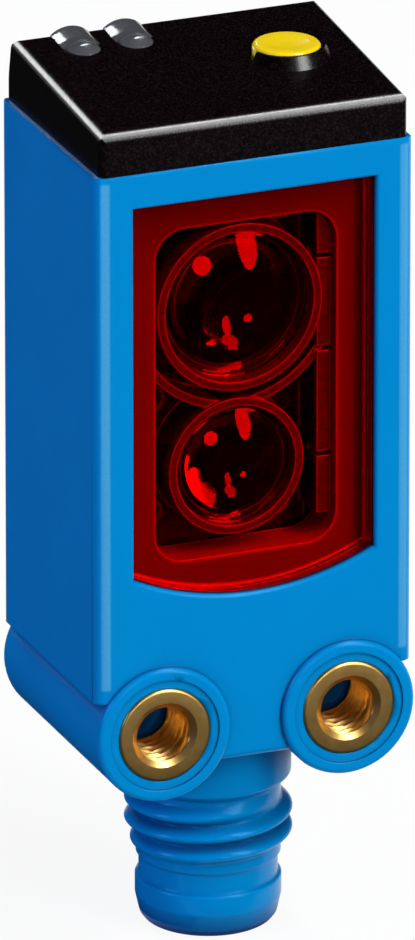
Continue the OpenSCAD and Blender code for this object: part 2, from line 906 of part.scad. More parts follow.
module connector_sleeve() {
  tip_r = 0.25;
  color(blue)
  difference() {
    union() {
      rotate_extrude() {
        polygon([[0, tip_r], [nose_d / 2 - 0.18, tip_r], [nose_d / 2, 0.9], [nose_d / 2, z_groove_low],
          [groove_d / 2, z_groove_low + 0.1], [groove_d / 2, z_groove_top], [core_d / 2, z_groove_top + 0.05],
          [core_d / 2, z_neck - 0.4], [neck_d / 2, z_neck], [neck_d / 2, plug_h],
          [spigot_r, plug_h], [spigot_r, z_spigot], [0, z_spigot]]);
        translate([socket_d / 2, 0])
          square([nose_d / 2 - 0.18 - tip_r - socket_d / 2, tip_r + eps]);
        translate([nose_d / 2 - 0.18 - tip_r, tip_r])
          circle(tip_r);
      }
      thread_ridge();
    }
    difference() {
      translate([0, 0, -eps])
        cylinder(d = socket_d, h = z_stop + eps);
      // key along the wall of the hollow
      box(-0.35, 0.35, -socket_d, -socket_d / 2 + 0.35, 0.8, socket_h - seam);
    }
    cylinder(r = resin_r + seam, h = z_spigot + 1);
  }
}

// place of each pin
module at_pins() {
  for (a = [40, 140, 220, 320])
    rotate([0, 0, a])
      translate([pin_circle, 0, 0])
        children();
}

module pin_carrier() {
  color(black)
  difference() {
    translate([0, 0, socket_h])
      cylinder(r = socket_d / 2 - seam, h = z_stop - seam - socket_h);
    at_pins()
      translate([0, 0, socket_h - 1])
        cylinder(r = pin_d / 2 + seam, h = z_stop);
  }
}

module contact_pins() {
  color([0.85, 0.7, 0.35])
  at_pins() {
    translate([0, 0, 1.2 + pin_d / 2])
      cylinder(d = pin_d, h = z_pin_top - 1.2 - pin_d / 2);
    translate([0, 0, 1.2 + pin_d / 2])
      sphere(d = pin_d);
  }
}

module sealing_resin() {
  color([0.15, 0.14, 0.13])
  difference() {
    translate([0, 0, z_stop])
      cylinder(r = resin_r, h = z_floor - z_stop);
    at_pins()
      translate([0, 0, z_stop - 1])
        cylinder(r = pin_d / 2 + seam, h = z_floor);
  }
}

module connector_board() {
  color(green)
  difference() {
    box(-x_in + 1, x_board - 0.1, y_in + 0.5, y_back - 1, z_plug_pcb, z_plug_pcb + pcb_t);
    at_pins()
      translate([0, 0, z_floor - 1])
        cylinder(r = pin_d / 2 + seam, h = pcb_t + 3);
  }
}

housing();
front_window();
window_seal();
top_cover();
cover_seal();
teach_button();
power_light_pipe();
signal_light_pipe();
front_inserts();
rear_inserts();
optics_carrier();
receiver_lens();
sender_lens();
optics_board();
photo_receiver();
sender_led();
main_board();
signal_chip();
output_driver();
chip_capacitors();
board_links();
indicator_board();
power_led();
signal_led();
tact_switch();
switch_plunger();
connector_sleeve();
pin_carrier();
contact_pins();
sealing_resin();
connector_board();
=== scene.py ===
from math import cos, pi, radians, sin, sqrt, tan

import bmesh
import bpy
from mathutils import Matrix, Vector


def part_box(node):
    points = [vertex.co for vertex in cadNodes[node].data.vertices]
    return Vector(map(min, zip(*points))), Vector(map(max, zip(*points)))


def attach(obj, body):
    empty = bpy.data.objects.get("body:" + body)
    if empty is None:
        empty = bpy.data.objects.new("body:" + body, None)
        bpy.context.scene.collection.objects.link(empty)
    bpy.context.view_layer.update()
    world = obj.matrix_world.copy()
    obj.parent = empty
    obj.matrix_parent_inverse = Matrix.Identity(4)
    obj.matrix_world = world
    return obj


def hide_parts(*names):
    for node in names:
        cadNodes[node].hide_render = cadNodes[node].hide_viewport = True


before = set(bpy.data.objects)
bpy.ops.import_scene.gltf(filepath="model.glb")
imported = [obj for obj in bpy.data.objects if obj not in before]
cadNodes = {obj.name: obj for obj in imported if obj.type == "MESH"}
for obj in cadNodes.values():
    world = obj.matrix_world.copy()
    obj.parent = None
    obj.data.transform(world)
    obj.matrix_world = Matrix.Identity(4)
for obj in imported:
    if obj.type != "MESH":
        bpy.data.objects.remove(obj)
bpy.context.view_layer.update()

scene = bpy.context.scene
mm = 0.001
print("frame:", len(cadNodes), "nodes")


# shader helpers
def feed(tree, socket, value):  # links a socket, or sets a constant
    if hasattr(value, "is_linked"):
        tree.links.new(value, socket)
    else:
        socket.default_value = value


def addNode(tree, kind, inputs=None, **settings):
    node = tree.nodes.new("ShaderNode" + kind)
    for key, value in settings.items():
        setattr(node, key, value)
    for key, value in (inputs or {}).items():
        feed(tree, node.inputs[key], value)
    return node


def calc(tree, operation, *values):
    return addNode(tree, "Math", dict(enumerate(values)), operation=operation).outputs[0]


def freshMaterial(name):
    material = bpy.data.materials.new(name)
    material.use_nodes = True
    tree = material.node_tree
    return material, tree, tree.nodes["Principled BSDF"]


def dress(tree, shader, values):
    for key, value in values.items():
        feed(tree, shader.inputs[key], value)


def objectCoords(tree):
    return addNode(tree, "TexCoord").outputs["Object"]


noiseDetail = {"ripple": 1.0, "grain": 2.0, "cloud": 3.0}  # finer layers within each kind of noise


def cloudiness(tree, coords, size, kind="cloud"):  # soft noise whose blobs are about size mm
    inputs = {"Vector": coords, "Scale": 1 / (size * mm), "Detail": noiseDetail[kind]}
    return addNode(tree, "TexNoise", inputs).outputs["Fac"]


def spread(tree, value, low, high, fromLow=0.3, fromHigh=0.7):  # noise lies mostly between 0.3 and 0.7
    inputs = {"Value": value, "From Min": fromLow, "From Max": fromHigh, "To Min": low, "To Max": high}
    return addNode(tree, "MapRange", inputs).outputs["Result"]


def twoTone(tree, value, darker, lighter):
    node = addNode(tree, "Mix", {"Factor": value}, data_type="RGBA")
    for socket, colour in ((node.inputs[6], darker), (node.inputs[7], lighter)):
        feed(tree, socket, colour if hasattr(colour, "is_linked") else (*colour, 1))
    return node.outputs[2]


def shade(colour, factor):
    return tuple(min(1.0, c * factor) for c in colour)


def patchyRough(tree, coords, look):
    low, high = look["roughness"] - look["roughSpread"], look["roughness"] + look["roughSpread"]
    return spread(tree, cloudiness(tree, coords, look["patchSize"]), low, high)


def reliefBump(tree, height, depth, edge=0.0):  # edge is the radius in mm that corners are rounded to
    inputs = {"Height": height, "Distance": depth * mm, "Strength": 1.0}
    if edge:
        inputs["Normal"] = addNode(tree, "Bevel", {"Radius": edge * mm}, samples=4).outputs["Normal"]
    return addNode(tree, "Bump", inputs).outputs["Normal"]


def paintedSheenEdges(tree, coords, look):  # painted highlight: 1 along a narrow upright band beside each corner
    x, y, z = addNode(tree, "SeparateXYZ", {0: coords}).outputs
    soft = look["paintedSheenSoft"] * mm
    inner, outer = (v * mm for v in look["paintedSheenAcross"])
    low, high = (v * mm for v in look["paintedSheenRise"])
    across = calc(tree, "ABSOLUTE", x)
    paintedSheen = spread(tree, cloudiness(tree, coords, look["paintedSheenGrain"]), look["paintedSheenLeast"], 1)
    for value, start, end in ((across, inner - soft, inner + soft), (across, outer + soft, outer - soft),
                              (z, low - soft, low + soft), (z, high + soft, high - soft)):
        paintedSheen = calc(tree, "MULTIPLY", paintedSheen, spread(tree, value, 0, 1, start, end))
    return paintedSheen


cornerMatch = (0.85, 0.995)  # how alike the true and the rounded normal are, from corner to flat


def cornerHighlightMask(tree, reach):  # painted highlight: 1 along the corners of a piece
    rounded = addNode(tree, "Bevel", {"Radius": reach * mm}, samples=6).outputs["Normal"]
    flat = addNode(tree, "NewGeometry").outputs["Normal"]
    match = addNode(tree, "VectorMath", {0: rounded, 1: flat}, operation="DOT_PRODUCT").outputs["Value"]
    return spread(tree, match, 1, 0, *cornerMatch)


def mouldedPlastic(name, look):
    material, tree, shader = freshMaterial(name)
    coords = objectCoords(tree)
    drift = spread(tree, cloudiness(tree, coords, look["driftSize"]), 0, 1)
    tones = [shade(look["colour"], 1 + step * look["drift"]) for step in (-1, 1)]
    colour = twoTone(tree, drift, *tones)
    if "raisedLit" in look:  # painted light: what stands in front of the plate is painted paler, where it catches light and the plate lies in shade
        depth = addNode(tree, "SeparateXYZ", {0: coords}).outputs[1]
        front = spread(tree, depth, 1, 0, *(v * mm for v in look["raisedLitFrom"]))
        colour = twoTone(tree, front, colour, look["raisedLit"])
    if "corner" in look:  # corners get a painted highlight, a paler tone
        colour = twoTone(tree, cornerHighlightMask(tree, look["cornerHighlightReach"]), colour, look["corner"])
    if "paintedSheen" in look:  # upright edges get a painted highlight, a pale band
        colour = twoTone(tree, paintedSheenEdges(tree, coords, look), colour, look["paintedSheen"])
    rough = patchyRough(tree, coords, look)
    if "recessShade" in look:  # painted shade: grooves and holes are darkened by ambient occlusion, and made duller
        reach = {"Distance": look["recessShadeReach"] * mm}
        free = addNode(tree, "AmbientOcclusion", reach, samples=6).outputs["AO"]
        colour = twoTone(tree, spread(tree, free, 0, 1, *look["recessShadeFrom"]), look["recessShade"], colour)
        dull = spread(tree, free, look["recessRough"], 0, *look["recessShadeFrom"])
        rough = calc(tree, "MAXIMUM", rough, dull)
    grain = cloudiness(tree, coords, look["grain"], look.get("grainKind", "grain"))
    dress(tree, shader, {
        "Base Color": colour, "Roughness": rough, "Specular IOR Level": look["specular"],
        "Specular Tint": (*look.get("sheen", (1, 1, 1)), 1),
        "Normal": reliefBump(tree, grain, look["grainDepth"], look["edge"])})
    return material


# the dark colour for grooves and holes is painted shade, laid in by ambient occlusion
# the pale band beside the upright corners is a painted highlight
housingLook = {
    "colour": (0.0, 0.245, 0.61), "drift": 0.02, "driftSize": 4.0, "roughness": 0.20, "roughSpread": 0.012,
    "patchSize": 0.5, "grain": 0.07, "grainDepth": 0.0004, "edge": 0.16, "specular": 0.25,
    "sheen": (0.2, 0.65, 1.0), "recessShade": (0.002, 0.02, 0.13), "recessShadeReach": 2.0, "recessRough": 0.7,
    "recessShadeFrom": (0.35, 0.92), "paintedSheen": (0.065, 0.36, 0.68), "paintedSheenAcross": (7.28, 7.70),
    "paintedSheenRise": (14.6, 39.8), "paintedSheenSoft": 0.06, "paintedSheenGrain": 0.12, "paintedSheenLeast": 0.7}
blockLook = {
    "colour": (0.010, 0.009, 0.009), "drift": 0.3, "driftSize": 1.5, "roughness": 0.3, "roughSpread": 0.08,
    "patchSize": 0.3, "grain": 0.08, "grainDepth": 0.002, "edge": 0.12, "specular": 0.5}
# what stands in front of the carrier's plate is painted paler, as painted light
carrierLook = {
    **blockLook, "raisedLit": (0.08, 0.07, 0.07), "raisedLitFrom": (-3.95, -3.3),
    # the corner tone is a painted highlight along the carrier's corners
    "corner": (0.55, 0.52, 0.52), "cornerHighlightReach": 0.15}
sealLook = {
    "colour": (0.27, 0.27, 0.27), "drift": 0.05, "driftSize": 1.2, "roughness": 0.7, "roughSpread": 0.05,
    "patchSize": 0.4, "grain": 0.06, "grainDepth": 0.002, "edge": 0.05, "specular": 0.3,
    # the corner tone is a painted highlight along the seal's corners
    "corner": (0.95, 0.95, 0.95), "cornerHighlightReach": 0.3}
gasketLook = {
    "colour": (0.02, 0.02, 0.022), "drift": 0.1, "driftSize": 1.0, "roughness": 0.75, "roughSpread": 0.05,
    "patchSize": 0.3, "grain": 0.05, "grainDepth": 0.002, "edge": 0.05, "specular": 0.3}
resinLook = {
    "colour": (0.015, 0.015, 0.016), "drift": 0.2, "driftSize": 0.8, "roughness": 0.25, "roughSpread": 0.05,
    "patchSize": 0.6, "grain": 0.4, "grainDepth": 0.01, "edge": 0.0, "specular": 0.5}
chipLook = {
    "colour": (0.02, 0.02, 0.021), "drift": 0.1, "driftSize": 0.6, "roughness": 0.55, "roughSpread": 0.05,
    "patchSize": 0.2, "grain": 0.04, "grainDepth": 0.002, "edge": 0.04, "specular": 0.4}
capacitorLook = {
    "colour": (0.55, 0.40, 0.24), "drift": 0.06, "driftSize": 0.5, "roughness": 0.5, "roughSpread": 0.06,
    "patchSize": 0.2, "grain": 0.05, "grainDepth": 0.002, "edge": 0.04, "specular": 0.4}
buttonLook = {
    "colour": (0.96, 0.70, 0.010), "drift": 0.04, "driftSize": 0.8, "roughness": 0.16, "roughSpread": 0.03,
    "patchSize": 0.3, "grain": 0.12, "grainKind": "cloud", "grainDepth": 0.001, "edge": 0.0, "specular": 0.5}
housingBlue = mouldedPlastic("housingBlue", housingLook)
carrierDark = mouldedPlastic("carrierDark", carrierLook)
blockDark = mouldedPlastic("blockDark", blockLook)
sealGrey = mouldedPlastic("sealGrey", sealLook)
gasketDark = mouldedPlastic("gasketDark", gasketLook)
resinDark = mouldedPlastic("resinDark", resinLook)
chipDark = mouldedPlastic("chipDark", chipLook)
capacitorTan = mouldedPlastic("capacitorTan", capacitorLook)
buttonYellow = mouldedPlastic("buttonYellow", buttonLook)

coverLook = {
    "black": (0.0012, 0.0005, 0.0008), "speck": (0.015, 0.006, 0.009), "speckSize": 0.11,
    "speckFrom": (0.48, 0.68), "roughness": 0.23, "roughSpread": 0.03, "patchSize": 0.4, "grain": 0.09,
    "grainDepth": 0.004, "specular": 0.6}


def speckledBlack(name, look):
    material, tree, shader = freshMaterial(name)
    coords = objectCoords(tree)
    specks = spread(tree, cloudiness(tree, coords, look["speckSize"], "grain"), 0, 1, *look["speckFrom"])
    grain = cloudiness(tree, coords, look["grain"], "grain")
    dress(tree, shader, {
        "Base Color": twoTone(tree, specks, look["black"], look["speck"]),
        "Roughness": patchyRough(tree, coords, look), "Specular IOR Level": look["specular"],
        "Normal": reliefBump(tree, grain, look["grainDepth"])})
    return material


coverBlack = speckledBlack("coverBlack", coverLook)

# lampTint: share of the lamps' light that reaches what lies behind
windowLook = {
    "colour": (0.90, 0.0, 0.0), "ior": 1.12, "roughness": 0.02, "roughSpread": 0.006, "patchSize": 0.5,
    "clear": 1.0, "ripple": 1.6, "rippleDepth": 0.002, "lampTint": (0.90, 0.0, 0.0)}
lensLook = {
    "colour": (0.96, 0.97, 0.98), "ior": 1.72, "roughness": 0.015, "roughSpread": 0.0045, "patchSize": 0.5,
    "clear": 1.0, "ripple": 1.6, "rippleDepth": 0.002, "lampTint": (0.04, 0.04, 0.04)}
pipeLook = {
    "colour": (0.32, 0.33, 0.35), "ior": 1.5, "roughness": 0.10, "roughSpread": 0.03, "patchSize": 0.5,
    "clear": 0.8, "ripple": 1.6, "rippleDepth": 0.002}


def clearPlastic(name, look):
    material, tree, shader = freshMaterial(name)
    coords = objectCoords(tree)
    ripple = cloudiness(tree, coords, look["ripple"], "ripple")
    dress(tree, shader, {
        "Base Color": (*look["colour"], 1), "Roughness": patchyRough(tree, coords, look), "IOR": look["ior"],
        "Transmission Weight": look["clear"], "Normal": reliefBump(tree, ripple, look["rippleDepth"])})
    if "lampTint" in look:
        through = addNode(tree, "BsdfTransparent", {"Color": (*look["lampTint"], 1)})
        shadow = addNode(tree, "LightPath").outputs["Is Shadow Ray"]
        mix = addNode(tree, "MixShader", {0: shadow, 1: shader.outputs[0], 2: through.outputs[0]})
        tree.links.new(mix.outputs[0], tree.nodes["Material Output"].inputs["Surface"])
    return material


windowRed = clearPlastic("windowRed", windowLook)
lensClear = clearPlastic("lensClear", lensLook)
pipeClear = clearPlastic("pipeClear", pipeLook)

brassLook = {
    "colour": (0.98, 0.62, 0.20), "dark": (0.88, 0.53, 0.15), "tarnishSize": 0.7, "roughness": 0.36,
    "roughSpread": 0.015, "patchSize": 0.25, "turning": 0.05, "turningDepth": 0.0004}
goldLook = {
    "colour": (0.85, 0.62, 0.28), "dark": (0.70, 0.48, 0.2), "tarnishSize": 0.7, "roughness": 0.22,
    "roughSpread": 0.05, "patchSize": 0.25, "turning": 0.05, "turningDepth": 0.001}
steelLook = {
    "colour": (0.55, 0.55, 0.56), "dark": (0.42, 0.42, 0.43), "tarnishSize": 0.7, "roughness": 0.3,
    "roughSpread": 0.06, "patchSize": 0.25, "turning": 0.06, "turningDepth": 0.001}


def turnedMetal(name, look):
    material, tree, shader = freshMaterial(name)
    coords = objectCoords(tree)
    tarnish = spread(tree, cloudiness(tree, coords, look["tarnishSize"]), 0, 1)
    marks = cloudiness(tree, coords, look["turning"], "grain")
    dress(tree, shader, {
        "Base Color": twoTone(tree, tarnish, look["dark"], look["colour"]), "Metallic": 1.0,
        "Roughness": patchyRough(tree, coords, look),
        "Normal": reliefBump(tree, marks, look["turningDepth"])})
    return material


insertBrass = turnedMetal("insertBrass", brassLook)
pinGold = turnedMetal("pinGold", goldLook)
switchSteel = turnedMetal("switchSteel", steelLook)

boardLook = {
    "mask": (0.012, 0.10, 0.035), "bare": (0.03, 0.16, 0.06), "trackPitch": 2.0, "trackHeight": 0.02,
    "roughness": 0.325, "roughSpread": 0.075, "patchSize": 0.3}


def boardFinish(name, look):
    material, tree, shader = freshMaterial(name)
    coords = objectCoords(tree)
    layout = {"Vector": coords, "Scale": 1 / (look["trackPitch"] * mm)}
    tracks = addNode(tree, "TexBrick", layout).outputs["Fac"]
    dress(tree, shader, {
        "Base Color": twoTone(tree, tracks, look["mask"], look["bare"]),
        "Roughness": patchyRough(tree, coords, look),
        "Normal": reliefBump(tree, tracks, look["trackHeight"])})
    return material


boardGreen = boardFinish("boardGreen", boardLook)

diodeLook = {
    "hazeSize": 0.3, "haze": 0.85, "roughness": 0.225, "roughSpread": 0.075, "patchSize": 0.2, "clear": 0.4,
    "red": (0.5, 0.12, 0.1), "green": (0.35, 0.6, 0.35), "yellow": (0.7, 0.6, 0.3)}


def diodeFinish(name, look, colour):
    material, tree, shader = freshMaterial(name)
    coords = objectCoords(tree)
    haze = spread(tree, cloudiness(tree, coords, look["hazeSize"]), 0, 1)
    dress(tree, shader, {
        "Base Color": twoTone(tree, haze, shade(colour, look["haze"]), colour),
        "Roughness": patchyRough(tree, coords, look), "Transmission Weight": look["clear"]})
    return material


diodeRed = diodeFinish("diodeRed", diodeLook, diodeLook["red"])
diodeGreen = diodeFinish("diodeGreen", diodeLook, diodeLook["green"])
diodeYellow = diodeFinish("diodeYellow", diodeLook, diodeLook["yellow"])
print("materials:", len(bpy.data.materials))


# mesh helpers
def meshFrom(bm, name):
    mesh = bpy.data.meshes.new(name)
    bm.to_mesh(mesh)
    bm.free()
    return mesh


def turned(point, angle):
    c, s = cos(angle), sin(angle)
    return Vector((point.x * c - point.y * s, point.x * s + point.y * c))


def softProfile(corners, steps=6):  # corners are (across, along, fillet) in mm; rounds each corner
    points = []
    for i, (x, y, fillet) in enumerate(corners):
        here = Vector((x, y))
        if not fillet or i in (0, len(corners) - 1):
            points.append(here)
            continue
        before = (Vector(corners[i - 1][:2]) - here).normalized()
        after = (Vector(corners[i + 1][:2]) - here).normalized()
        half = before.angle(after) / 2
        reach = fillet / tan(half)
        centre = here + (before + after).normalized() * (fillet / sin(half))
        start = here + before * reach - centre
        sweep = start.angle_signed(here + after * reach - centre)
        points += [centre + turned(start, -sweep * k / steps) for k in range(steps + 1)]
    return points


def finer(points, longest):
    result = [points[0]]
    for a, b in zip(points, points[1:]):
        count = max(1, round((b - a).length / longest))
        result += [a.lerp(b, k / count) for k in range(1, count + 1)]
    return result


def lathe(name, points, around, closed=False):  # turns (radius, height) points in mm about Z
    bm = bmesh.new()
    rings = []
    for p in points:
        if p.x < 1e-6:  # on the axis
            rings.append([bm.verts.new((0, 0, p.y * mm))])
            continue
        angles = [2 * pi * k / around for k in range(around)]
        rings.append([bm.verts.new((p.x * cos(a) * mm, p.x * sin(a) * mm, p.y * mm)) for a in angles])
    pairs = list(zip(rings, rings[1:]))
    if closed:
        pairs.append((rings[-1], rings[0]))
    for low, high in pairs:
        for k in range(around):
            n = (k + 1) % around
            ring = [low[k % len(low)], low[n % len(low)], high[n % len(high)], high[k % len(high)]]
            corners = list(dict.fromkeys(ring))
            if len(corners) > 2:
                bm.faces.new(corners)
    bmesh.ops.recalc_face_normals(bm, faces=bm.faces)
    return meshFrom(bm, name)


def smoothed(mesh, angle=32):
    for face in mesh.polygons:
        face.use_smooth = True
    mesh.set_sharp_from_angle(angle=radians(angle))
    return mesh


def placed(mesh, matrix):
    mesh.transform(matrix)
    return mesh


def joined(name, meshes):
    bm = bmesh.new()
    for mesh in meshes:
        bm.from_mesh(mesh)
    return meshFrom(bm, name)


def easedNode(name, node, size, chosen=None):  # merged copy of a CAD mesh with its sharp edges rounded over
    bm = bmesh.new()
    bm.from_mesh(cadNodes[node].data)
    bmesh.ops.remove_doubles(bm, verts=bm.verts, dist=1e-7)
    bmesh.ops.dissolve_limit(bm, angle_limit=radians(size["merge"]), verts=bm.verts, edges=bm.edges)
    edges = [e for e in bm.edges if len(e.link_faces) == 2 and e.calc_face_angle() > radians(size["sharp"])]
    if chosen:
        edges = [e for e in edges if all(chosen(v.co) for v in e.verts)]
    bmesh.ops.bevel(bm, geom=edges, offset=size["round"] * mm, segments=size["segments"],
                    affect="EDGES", profile=0.5)
    print(name, "edges rounded:", len(edges))
    return smoothed(meshFrom(bm, name), size["smooth"])


def addPiece(name, mesh, material, body, node):
    mesh.materials.clear()
    mesh.materials.append(material)
    piece = bpy.data.objects.new(name, mesh)
    scene.collection.objects.link(piece)
    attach(piece, body)
    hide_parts(node)


def modified(mesh, kind, setUp):  # what a modifier makes of a mesh, kept as plain faces
    holder = bpy.data.objects.new("holder", mesh)
    scene.collection.objects.link(holder)
    modifier = holder.modifiers.new("step", kind)
    setUp(modifier)
    result = bpy.data.meshes.new_from_object(holder.evaluated_get(bpy.context.evaluated_depsgraph_get()))
    holder.modifiers.remove(modifier)
    bpy.data.objects.remove(holder)
    return result


def bakedNodes(mesh, tree, values):
    def setUp(modifier):
        modifier.node_group = tree
        for item in tree.interface.items_tree:
            if item.item_type == "SOCKET" and item.in_out == "INPUT" and item.name in values:
                modifier[item.identifier] = values[item.name]

    return modified(mesh, "NODES", setUp)


def evenShading(mesh):  # a flat face keeps its own normal beside a rounding
    def setUp(modifier):
        modifier.keep_sharp = True

    return modified(mesh, "WEIGHTED_NORMAL", setUp)


def geometryTree(name, sockets):
    tree = bpy.data.node_groups.new(name, "GeometryNodeTree")
    tree.interface.new_socket("Geometry", in_out="INPUT", socket_type="NodeSocketGeometry")
    for label, kind in sockets:
        tree.interface.new_socket(label, in_out="INPUT", socket_type="NodeSocket" + kind)
    tree.interface.new_socket("Geometry", in_out="OUTPUT", socket_type="NodeSocketGeometry")
    return tree, tree.nodes.new("NodeGroupInput"), tree.nodes.new("NodeGroupOutput")


def closeTree(tree, geometry, material, outlet):  # every tree ends in Realize Instances and Set Material
    real = tree.nodes.new("GeometryNodeRealizeInstances")
    paint = tree.nodes.new("GeometryNodeSetMaterial")
    tree.links.new(geometry, real.inputs["Geometry"])
    tree.links.new(real.outputs[0], paint.inputs["Geometry"])
    tree.links.new(material, paint.inputs["Material"])
    tree.links.new(paint.outputs[0], outlet.inputs[0])


def screwThreadTree():  # pushes a turned skin out along a helix
    sizes = ("Pitch", "Turns", "Start", "Height", "Lead", "Fade", "Roundness", "Inside", "Outside")
    sockets = [(label, "Float") for label in sizes] + [("Finish", "Material")]
    tree, inlet, outlet = geometryTree("screwThread", sockets)
    size = inlet.outputs
    where = tree.nodes.new("GeometryNodeInputPosition").outputs[0]
    x, y, z = addNode(tree, "SeparateXYZ", {0: where}).outputs
    squares = [calc(tree, "MULTIPLY", v, v) for v in (x, y)]
    radius = calc(tree, "SQRT", calc(tree, "ADD", *squares))
    part = calc(tree, "FRACT", calc(tree, "DIVIDE", calc(tree, "ARCTAN2", y, x), 2 * pi))
    laps = calc(tree, "DIVIDE", calc(tree, "SUBTRACT", z, size["Start"]), size["Pitch"])
    climb = calc(tree, "SUBTRACT", laps, part)
    lap = calc(tree, "ROUND", climb)
    away = calc(tree, "SUBTRACT", climb, lap)  # -0.5 to 0.5 across one ridge
    wave = calc(tree, "MULTIPLY_ADD", calc(tree, "COSINE", calc(tree, "MULTIPLY", away, 2 * pi)), 0.5, 0.5)
    ridge = calc(tree, "POWER", wave, size["Roundness"])
    done = calc(tree, "ADD", lap, part)
    left = calc(tree, "SUBTRACT", size["Turns"], done)
    ends = calc(tree, "MINIMUM", calc(tree, "DIVIDE", done, size["Lead"]),
                calc(tree, "DIVIDE", left, size["Fade"]))
    fade = addNode(tree, "MapRange", {"Value": ends}, interpolation_type="SMOOTHSTEP").outputs[0]
    within = calc(tree, "MULTIPLY", calc(tree, "GREATER_THAN", radius, size["Inside"]),
                  calc(tree, "LESS_THAN", radius, size["Outside"]))
    push = calc(tree, "MULTIPLY", calc(tree, "MULTIPLY", ridge, fade),
                calc(tree, "MULTIPLY", within, size["Height"]))
    scaled = calc(tree, "DIVIDE", push, calc(tree, "MAXIMUM", radius, 1e-6))
    shift = {i: calc(tree, "MULTIPLY", v, scaled) for i, v in enumerate((x, y))}
    offset = addNode(tree, "CombineXYZ", shift).outputs[0]
    move = tree.nodes.new("GeometryNodeSetPosition")
    tree.links.new(size["Geometry"], move.inputs["Geometry"])
    tree.links.new(offset, move.inputs["Offset"])
    closeTree(tree, move.outputs[0], size["Finish"], outlet)
    return tree


screwThread = screwThreadTree()


def threaded(mesh, thread, coreR, start, turns, finish):  # under and over bound the skin that is pushed out
    return bakedNodes(mesh, screwThread, {
        "Pitch": thread["pitch"] * mm, "Turns": turns, "Start": start * mm, "Height": thread["height"] * mm,
        "Lead": thread["lead"], "Fade": thread["fade"], "Roundness": thread["roundness"],
        "Inside": (coreR - thread["under"]) * mm, "Outside": (coreR + thread["over"]) * mm, "Finish": finish})


# plug: turned sleeve with a coarse round thread and a hollow for the pins
# corners are radius, height and fillet, up the outside and then down the inside
plug = {
    "outside": {
        "socketRim": (2.75, 0.0, 0.0), "tip": (3.05, 0.0, 0.24), "noseLow": (3.28, 0.30, 0.2),
        "nose": (3.48, 1.20, 0.6), "noseTop": (3.48, 2.15, 0.12), "grooveLow": (3.31, 2.27, 0.06),
        "grooveTop": (3.31, 3.2, 0.08), "coreLow": (3.45, 3.34, 0.08), "coreTop": (3.45, 7.0, 0.15),
        "neckLow": (3.94, 7.4, 0.25), "neckTop": (3.94, 10.15, 0.0), "spigotLow": (2.9, 10.15, 0.0),
        "spigotTop": (2.9, 13.15, 0.0)},
    "inside": {"boreTop": (2.2, 13.15), "boreLow": (2.2, 9.6), "socketTop": (2.75, 9.6)},
    "thread": {"start": 3.6, "turns": 2.9, "pitch": 1.0, "height": 0.545, "lead": 0.9, "fade": 0.33,
               "roundness": 0.7, "under": 0.05, "over": 0.03},
    "rowStep": 0.055, "around": 144}


def makePlug(size):
    outside = finer(softProfile(list(size["outside"].values())), size["rowStep"])
    inside = [Vector(corner) for corner in size["inside"].values()]
    mesh = lathe("plugSkin", outside + inside, size["around"], closed=True)
    thread, coreR = size["thread"], size["outside"]["coreLow"][0]
    return smoothed(threaded(mesh, thread, coreR, thread["start"], thread["turns"], housingBlue))


addPiece("plug_sleeve", makePlug(plug), housingBlue, "sensor", "connector_sleeve")
print("plug made")

# brass inserts: turned bush with lead-in and M3 thread
bush = {
    "outerR": 2.3, "mouthR": 1.62, "tapR": 1.33, "length": 3.38, "leadIn": 0.24, "edge": 0.14,
    "backEdge": 0.05, "rowStep": 0.04, "around": 80,
    "thread": {"pitch": 0.5, "height": 0.19, "lead": 0.3, "fade": 0.3, "roundness": 0.5,
               "under": 0.05, "over": 0.03}}


def bushMesh(size):
    skin = softProfile([
        (size["mouthR"], 0.0, 0.0), (size["outerR"], 0.0, size["edge"]),
        (size["outerR"], size["length"], size["backEdge"]), (size["tapR"], size["length"], 0.0)])
    bore = finer([Vector((size["tapR"], size["length"])), Vector((size["tapR"], size["leadIn"])),
                  Vector((size["mouthR"], 0.0))], size["rowStep"])
    mesh = lathe("bushSkin", skin + bore[1:-1], size["around"], closed=True)
    turns = (size["length"] - size["leadIn"]) / size["thread"]["pitch"]
    return threaded(mesh, size["thread"], size["tapR"], size["leadIn"], turns, insertBrass)


def makeInserts(name, node, facing):  # facing -1 looks to the front, 1 to the rear
    low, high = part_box(node)
    faceY = low.y if facing < 0 else high.y
    turn = Matrix.Rotation(facing * pi / 2, 4, "X")
    meshes = []
    for x in (low.x + bush["outerR"] * mm, high.x - bush["outerR"] * mm):
        meshes.append(placed(bushMesh(bush), Matrix.Translation((x, faceY, (low.z + high.z) / 2)) @ turn))
    addPiece(name, smoothed(joined(name, meshes)), insertBrass, "sensor", node)


makeInserts("front_bushes", "front_inserts", -1)
makeInserts("rear_bushes", "rear_inserts", 1)
print("inserts made")

# housing: the edge round the window is rounded over; margin and inFront say which edges are near the window
lip = {"merge": 0.5, "sharp": 40, "round": 0.19, "segments": 5, "smooth": 30, "margin": 0.3, "inFront": 0.1}


def makeShell(size):
    low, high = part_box("front_window")
    near, front = size["margin"] * mm, low.y - size["inFront"] * mm

    def roundWindow(p):
        return low.x - near < p.x < high.x + near and low.z - near < p.z < high.z + near and p.y < front

    return evenShading(easedNode("housing_shell", "housing", size, roundWindow))


addPiece("housing_shell", makeShell(lip), housingBlue, "sensor", "housing")
print("housing made")

# window: red pane with eased edges; the low smooth angle keeps the pane itself flat
pane = {"merge": 2, "sharp": 40, "round": 0.16, "segments": 3, "smooth": 14}
paneMesh = easedNode("red_pane", "front_window", pane)
addPiece("red_pane", paneMesh, windowRed, "sensor", "front_window")

# lenses: turned, domed on both sides
lensSizes = {"around": 96, "steps": 22, "rim": 0.58, "flat": 0.2, "backFlat": 0.7, "backShare": 0.7}


def dome(reach, rise, steps):  # arc from the top of a cap of that reach and rise to its edge
    ball = (reach * reach + rise * rise) / (2 * rise)
    across = [reach * k / steps for k in range(steps + 1)]
    return [Vector((r, sqrt(ball ** 2 - r ** 2) - ball + rise)) for r in across]


